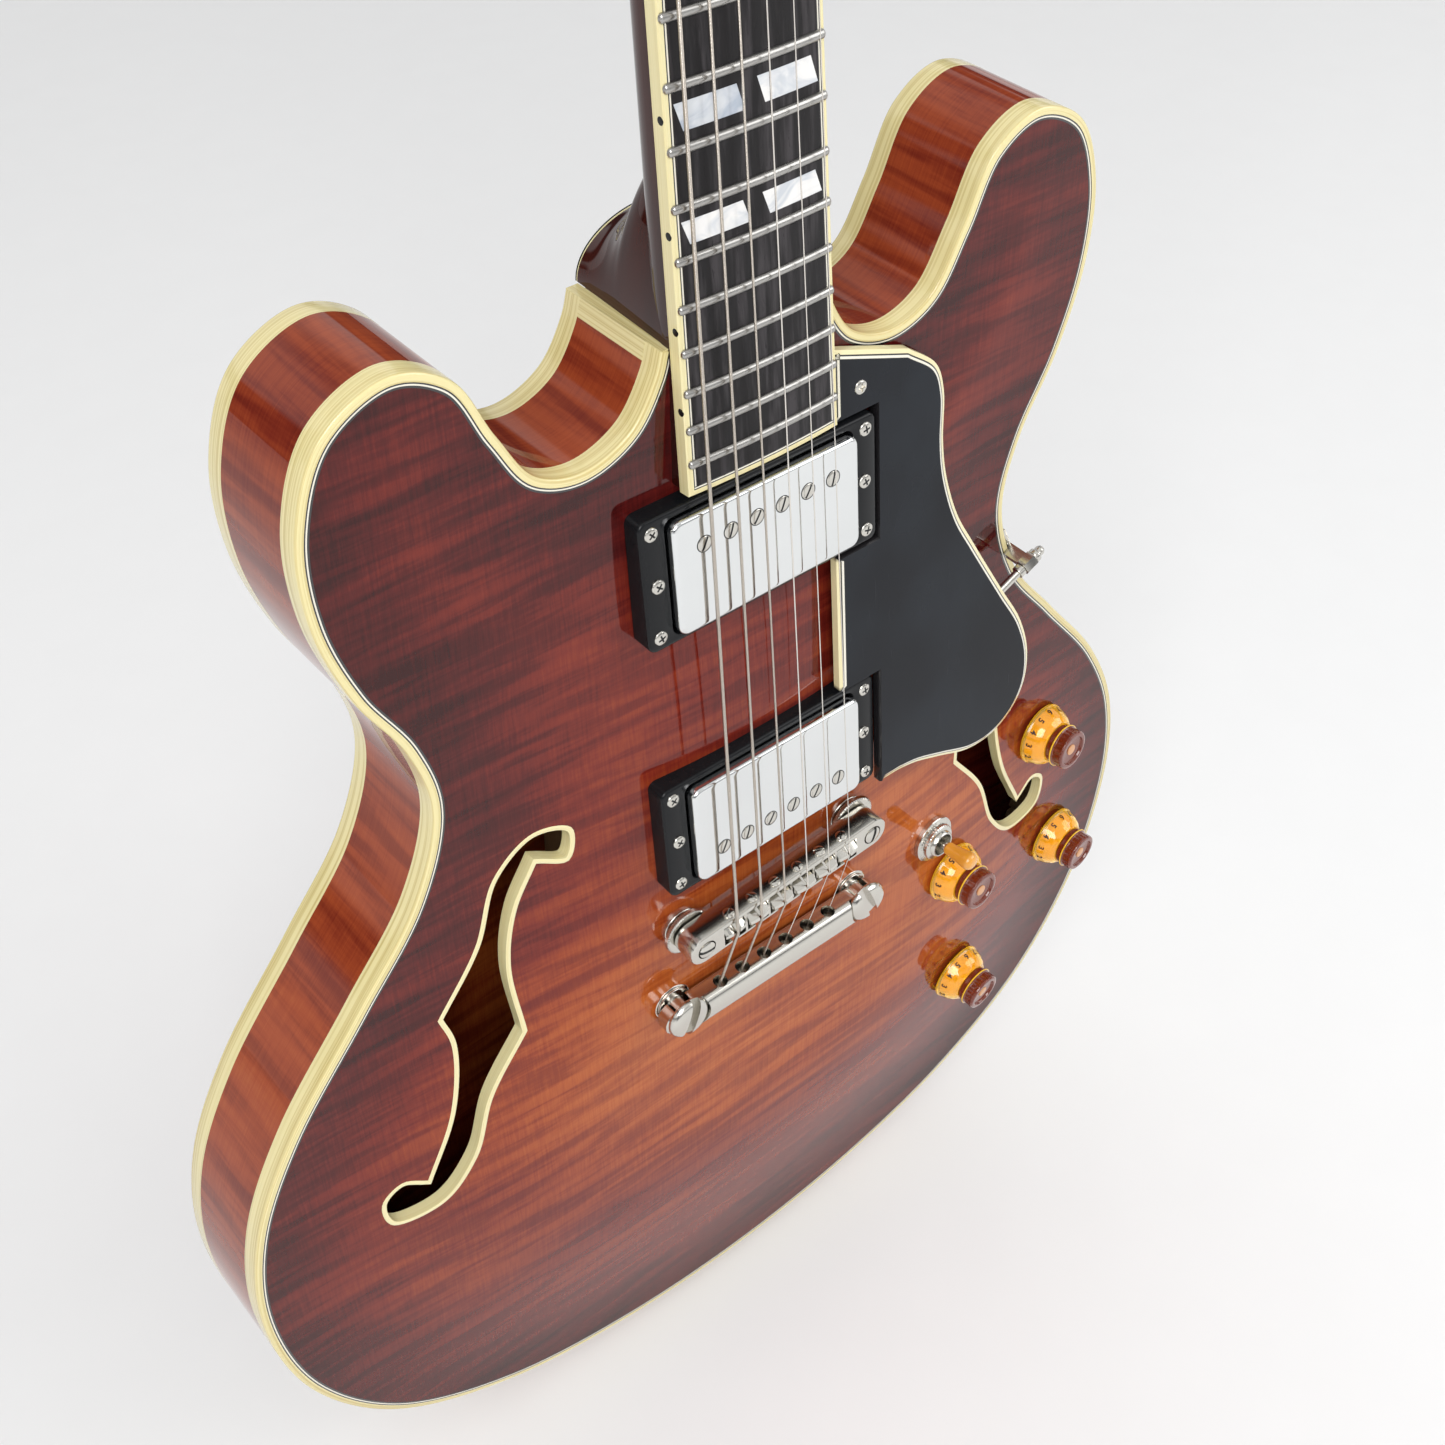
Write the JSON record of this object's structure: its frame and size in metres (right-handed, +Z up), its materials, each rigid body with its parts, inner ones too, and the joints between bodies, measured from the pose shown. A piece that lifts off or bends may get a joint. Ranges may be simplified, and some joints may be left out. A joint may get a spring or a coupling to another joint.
{
  "type": "semi-hollow electric guitar",
  "caption": "Semi-hollow electric guitar with a double cutaway, two f-holes, two covered pickups, a bridge with six adjustable saddles, a stop tailpiece and geared tuners.",
  "frame": {"origin": "middle of the nut, on the fingerboard's crown line, where a hanger's yoke holds the guitar under its headstock", "axes": "+Z up along the strings towards the headstock, -Y out of the face, +X towards the treble side"},
  "size_m": [0.4127, 0.1452, 1.0668],
  "materials": {
    "red_top": "glossy",
    "red_rim": "glossy",
    "block_wood": "matte",
    "neck_wood": "glossy",
    "ebony": "satin",
    "ivory": "glossy",
    "bone": "satin",
    "steel": "satin",
    "nickel": "polished",
    "black_plastic": "satin",
    "guard_plastic": "glossy",
    "amber": "glossy",
    "tip": "glossy",
    "string_steel": "satin",
    "button": "glossy"
  },
  "bodies": {
    "root": {"top_plate": "red_top", "back_plate": "red_top", "rim": "red_rim", "front_binding": "ivory", "back_binding": "ivory", "center_block": "block_wood", "neck": "neck_wood", "truss_rod": "steel", "fingerboard": "ebony", "fingerboard_binding": "ivory", "nut": "bone", "tuner_plate_bass": "nickel", "tuner_plate_treble": "nickel", "string_6": "string_steel", "string_5": "string_steel", "string_4": "string_steel", "string_3": "string_steel", "string_2": "string_steel", "string_1": "string_steel", "pickup_ring_neck": "black_plastic", "pickup_ring_bridge": "black_plastic", "switch_body": "nickel", "output_jack": "nickel", "pickguard": "guard_plastic", "pickguard_bracket": "nickel", "strap_button_heel": "nickel", "strap_button_end": "nickel"},
    "tuner_post_6": {"tuner_post_6": "nickel"},
    "tuner_button_6": {"tuner_button_6": "button"},
    "tuner_post_5": {"tuner_post_5": "nickel"},
    "tuner_button_5": {"tuner_button_5": "button"},
    "tuner_post_4": {"tuner_post_4": "nickel"},
    "tuner_button_4": {"tuner_button_4": "button"},
    "tuner_post_1": {"tuner_post_1": "nickel"},
    "tuner_button_1": {"tuner_button_1": "button"},
    "tuner_post_2": {"tuner_post_2": "nickel"},
    "tuner_button_2": {"tuner_button_2": "button"},
    "tuner_post_3": {"tuner_post_3": "nickel"},
    "tuner_button_3": {"tuner_button_3": "button"},
    "bridge_body": {"bridge_body": "nickel"},
    "saddle_6": {"saddle_6": "nickel"},
    "saddle_5": {"saddle_5": "nickel"},
    "saddle_4": {"saddle_4": "nickel"},
    "saddle_3": {"saddle_3": "nickel"},
    "saddle_2": {"saddle_2": "nickel"},
    "saddle_1": {"saddle_1": "nickel"},
    "bridge_post_bass": {"bridge_post_bass": "nickel"},
    "bridge_post_treble": {"bridge_post_treble": "nickel"},
    "tailpiece": {"tailpiece": "nickel"},
    "tailpiece_stud_bass": {"tailpiece_stud_bass": "nickel"},
    "tailpiece_stud_treble": {"tailpiece_stud_treble": "nickel"},
    "knob_neck_volume": {"knob_neck_volume": "amber"},
    "knob_neck_tone": {"knob_neck_tone": "amber"},
    "knob_bridge_volume": {"knob_bridge_volume": "amber"},
    "knob_bridge_tone": {"knob_bridge_tone": "amber"},
    "switch_lever": {"switch_lever": "tip"},
    "pickup_neck": {"pickup_cover_neck": "nickel", "pickup_coils_neck": "black_plastic"},
    "pickup_bridge": {"pickup_cover_bridge": "nickel", "pickup_coils_bridge": "black_plastic"}
  },
  "joints": [
    {"name": "neck_volume_turn", "type": "hinge", "parent": "root", "child": "knob_neck_volume", "pos_m": [0.15058, -0.04058, -0.6602], "axis": [0.0936, -0.9942, 0.0535], "range_deg": [-150, 150]},
    {"name": "neck_tone_turn", "type": "hinge", "parent": "root", "child": "knob_neck_tone", "pos_m": [0.16942, -0.04012, -0.73111], "axis": [0.0976, -0.9952, -0.0094], "range_deg": [-150, 150]},
    {"name": "bridge_volume_turn", "type": "hinge", "parent": "root", "child": "knob_bridge_volume", "pos_m": [0.09783, -0.04868, -0.69656], "axis": [0.0838, -0.9953, 0.0479], "range_deg": [-150, 150]},
    {"name": "bridge_tone_turn", "type": "hinge", "parent": "root", "child": "knob_bridge_tone", "pos_m": [0.1122, -0.0451, -0.77207], "axis": [0.111, -0.9905, -0.0806], "range_deg": [-150, 150]},
    {"name": "pickup_switch", "type": "hinge", "parent": "root", "child": "switch_lever", "pos_m": [0.08466, -0.03774, -0.67085], "axis": [1, 0, 0], "range_deg": [-12, 12]},
    {"name": "tuner_1_button", "type": "hinge", "parent": "root", "child": "tuner_button_1", "pos_m": [0.0123, 0.04121, 0.0485], "axis": [1, 0, 0], "continuous": true},
    {"name": "tuner_1_post", "type": "hinge", "parent": "root", "child": "tuner_post_1", "pos_m": [0.0205, 0.02387, 0.04689], "axis": [0, -0.9384, 0.3455], "continuous": true},
    {"name": "tuner_2_button", "type": "hinge", "parent": "root", "child": "tuner_button_2", "pos_m": [0.0136, 0.05434, 0.08416], "axis": [1, 0, 0], "continuous": true},
    {"name": "tuner_2_post", "type": "hinge", "parent": "root", "child": "tuner_post_2", "pos_m": [0.0218, 0.037, 0.08255], "axis": [0, -0.9384, 0.3455], "continuous": true},
    {"name": "tuner_3_button", "type": "hinge", "parent": "root", "child": "tuner_button_3", "pos_m": [0.0149, 0.06747, 0.11982], "axis": [1, 0, 0], "continuous": true},
    {"name": "tuner_3_post", "type": "hinge", "parent": "root", "child": "tuner_post_3", "pos_m": [0.0231, 0.05013, 0.11821], "axis": [0, -0.9384, 0.3455], "continuous": true},
    {"name": "tuner_4_button", "type": "hinge", "parent": "root", "child": "tuner_button_4", "pos_m": [-0.0149, 0.06747, 0.11982], "axis": [-1, 0, 0], "continuous": true},
    {"name": "tuner_4_post", "type": "hinge", "parent": "root", "child": "tuner_post_4", "pos_m": [-0.0231, 0.05013, 0.11821], "axis": [0, -0.9384, 0.3455], "continuous": true},
    {"name": "tuner_5_button", "type": "hinge", "parent": "root", "child": "tuner_button_5", "pos_m": [-0.0136, 0.05434, 0.08416], "axis": [-1, 0, 0], "continuous": true},
    {"name": "tuner_5_post", "type": "hinge", "parent": "root", "child": "tuner_post_5", "pos_m": [-0.0218, 0.037, 0.08255], "axis": [0, -0.9384, 0.3455], "continuous": true},
    {"name": "tuner_6_button", "type": "hinge", "parent": "root", "child": "tuner_button_6", "pos_m": [-0.0123, 0.04121, 0.0485], "axis": [-1, 0, 0], "continuous": true},
    {"name": "tuner_6_post", "type": "hinge", "parent": "root", "child": "tuner_post_6", "pos_m": [-0.0205, 0.02387, 0.04689], "axis": [0, -0.9384, 0.3455], "continuous": true},
    {"name": "bridge_wheel_bass", "type": "hinge", "parent": "bridge_body", "child": "bridge_post_bass", "pos_m": [-0.03691, -0.0442, -0.62963], "axis": [0, -1, 0], "range_deg": [-710, 1110]},
    {"name": "bridge_wheel_treble", "type": "hinge", "parent": "bridge_body", "child": "bridge_post_treble", "pos_m": [0.03691, -0.0442, -0.62447], "axis": [0, -1, 0], "range_deg": [-710, 1110]},
    {"name": "bridge_lift", "type": "slide", "parent": "root", "child": "bridge_body", "axis": [0, -1, 0], "range_m": [-0.00156, 0.00244], "deforming": ["string_1", "string_2", "string_3", "string_4", "string_5", "string_6"]},
    {"name": "saddle_1_slide", "type": "slide", "parent": "bridge_body", "child": "saddle_1", "axis": [-0.0698, 0, 0.9976], "range_m": [-0.0018, 0.0018]},
    {"name": "saddle_2_slide", "type": "slide", "parent": "bridge_body", "child": "saddle_2", "axis": [-0.0698, 0, 0.9976], "range_m": [-0.0018, 0.0018]},
    {"name": "saddle_3_slide", "type": "slide", "parent": "bridge_body", "child": "saddle_3", "axis": [-0.0698, 0, 0.9976], "range_m": [-0.0018, 0.0018]},
    {"name": "saddle_4_slide", "type": "slide", "parent": "bridge_body", "child": "saddle_4", "axis": [-0.0698, 0, 0.9976], "range_m": [-0.0018, 0.0018]},
    {"name": "saddle_5_slide", "type": "slide", "parent": "bridge_body", "child": "saddle_5", "axis": [-0.0698, 0, 0.9976], "range_m": [-0.0018, 0.0018]},
    {"name": "saddle_6_slide", "type": "slide", "parent": "bridge_body", "child": "saddle_6", "axis": [-0.0698, 0, 0.9976], "range_m": [-0.0018, 0.0018]},
    {"name": "tail_stud_bass", "type": "hinge", "parent": "tailpiece", "child": "tailpiece_stud_bass", "pos_m": [-0.0415, -0.04572, -0.66635], "axis": [0, -1, 0], "range_deg": [-5, 1445]},
    {"name": "tail_stud_treble", "type": "hinge", "parent": "tailpiece", "child": "tailpiece_stud_treble", "pos_m": [0.0415, -0.04572, -0.66635], "axis": [0, -1, 0], "range_deg": [-5, 1445]},
    {"name": "tail_lift", "type": "slide", "parent": "root", "child": "tailpiece", "axis": [0, -1, 0], "range_m": [0, 0.004]},
    {"name": "pickup_neck_height", "type": "slide", "parent": "root", "child": "pickup_neck", "axis": [0, -0.9959, 0.0908], "range_m": [-0.003, 0.0015]},
    {"name": "pickup_bridge_height", "type": "slide", "parent": "root", "child": "pickup_bridge", "axis": [0, -0.9959, 0.0908], "range_m": [-0.003, 0.0015]}
  ],
  "couplings": [
    {"joint": "tuner_1_post", "follows": "tuner_1_button", "ratio": 0.071429},
    {"joint": "tuner_2_post", "follows": "tuner_2_button", "ratio": 0.071429},
    {"joint": "tuner_3_post", "follows": "tuner_3_button", "ratio": 0.071429},
    {"joint": "tuner_4_post", "follows": "tuner_4_button", "ratio": -0.071429},
    {"joint": "tuner_5_post", "follows": "tuner_5_button", "ratio": -0.071429},
    {"joint": "tuner_6_post", "follows": "tuner_6_button", "ratio": -0.071429},
    {"joint": "bridge_wheel_bass", "follows": "bridge_lift", "rad_per_m": 7854},
    {"joint": "bridge_wheel_treble", "follows": "bridge_lift", "rad_per_m": 7854},
    {"joint": "tail_stud_bass", "follows": "tail_lift", "rad_per_m": 6283.2},
    {"joint": "tail_stud_treble", "follows": "tail_lift", "rad_per_m": 6283.2}
  ]
}
